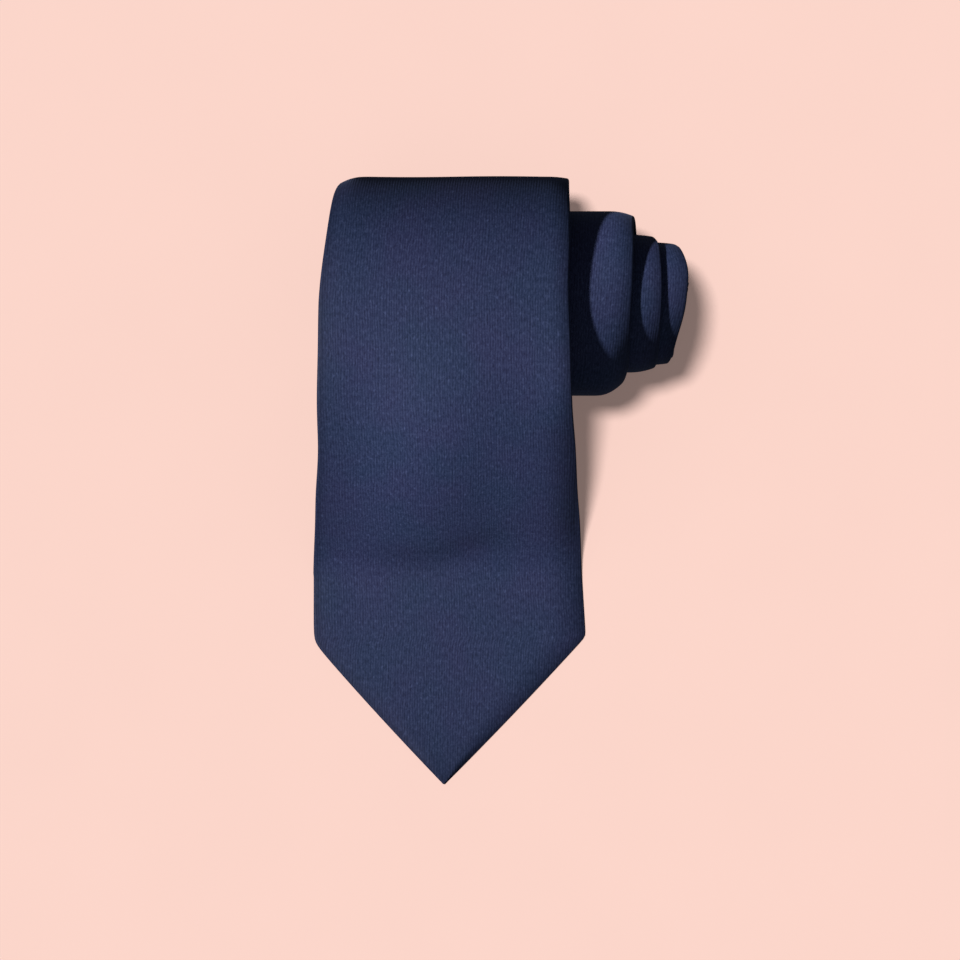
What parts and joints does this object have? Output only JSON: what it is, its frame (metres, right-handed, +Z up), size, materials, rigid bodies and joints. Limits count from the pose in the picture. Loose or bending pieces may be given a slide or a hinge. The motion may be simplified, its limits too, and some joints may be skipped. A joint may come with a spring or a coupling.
{
  "type": "necktie",
  "caption": "Pointed navy silk necktie rolled up for display, its roll pulled out sideways in steps and its blade draped flat to the table.",
  "frame": {"origin": "middle of the underside of the whole object's box, on the table the tie lies on", "axes": "+Z up, -Y the way the blade's tip points, +X the side that the roll's turns step out to"},
  "size_m": [0.1225, 0.1988, 0.0583],
  "materials": {
    "silk": "navy silk with a fine rib along its length and small light flecks, soft sheen",
    "interlining": "brushed wool-type interlining, matt",
    "lining": "smooth navy lining satin",
    "thread": "navy sewing thread",
    "label": "blank white satin tape"
  },
  "bodies": {
    "roll_outer": {"silk_outer_turn": "silk", "interlining_outer": "interlining", "slip_stitch_outer": "thread"},
    "blade_drape": {"silk_blade_drape": "silk", "interlining_drape": "interlining", "slip_stitch_drape": "thread", "keeper_loop": "silk", "keeper_tack_left": "thread", "keeper_tack_right": "thread", "care_label_stitch": "thread"},
    "blade_tip": {"silk_blade_tip": "silk", "interlining_blade_tip": "interlining", "blade_tipping": "lining", "blade_bar_tack": "thread", "slip_stitch_blade_tip": "thread"},
    "roll_first_turn": {"silk_first_turn": "silk", "interlining_first": "interlining", "slip_stitch_first": "thread"},
    "roll_second_turn": {"silk_second_turn": "silk", "interlining_second": "interlining", "slip_stitch_second": "thread"},
    "roll_core": {"silk_third_turn": "silk", "silk_neck": "silk", "silk_tail": "silk", "interlining_core": "interlining", "slip_stitch_core": "thread", "tail_tipping": "lining", "tail_bar_tack": "thread", "neck_seam_blade_side": "thread", "neck_seam_tail_side": "thread"},
    "care_label": {"care_label": "label"}
  },
  "joints": [
    {"name": "blade_lift", "type": "hinge", "parent": "roll_outer", "child": "blade_drape", "pos_m": [-0.0175, 0.0583, 0.0583], "axis": [-1, 0, 0], "range_deg": [0, 60]},
    {"name": "tip_lift", "type": "hinge", "parent": "blade_drape", "child": "blade_tip", "pos_m": [-0.0175, -0.0305, 0.0024], "axis": [-1, 0, 0], "range_deg": [0, 60]},
    {"name": "label_flip", "type": "hinge", "parent": "blade_drape", "child": "care_label", "pos_m": [-0.01736, 0.00733, 0.03714], "axis": [1, 0, 0], "range_deg": [0, 70]},
    {"name": "roll_pull", "type": "slide", "parent": "roll_outer", "child": "roll_first_turn", "axis": [1, 0, 0], "range_m": [-0.018, 0.006]},
    {"name": "second_turn_pull", "type": "slide", "parent": "roll_first_turn", "child": "roll_second_turn", "axis": [1, 0, 0], "range_m": [-0.009, 0.003]},
    {"name": "core_pull", "type": "slide", "parent": "roll_second_turn", "child": "roll_core", "axis": [1, 0, 0], "range_m": [-0.006, 0.002]}
  ],
  "couplings": [
    {"joint": "second_turn_pull", "follows": "roll_pull", "ratio": 0.5},
    {"joint": "core_pull", "follows": "roll_pull", "ratio": 0.33333}
  ]
}
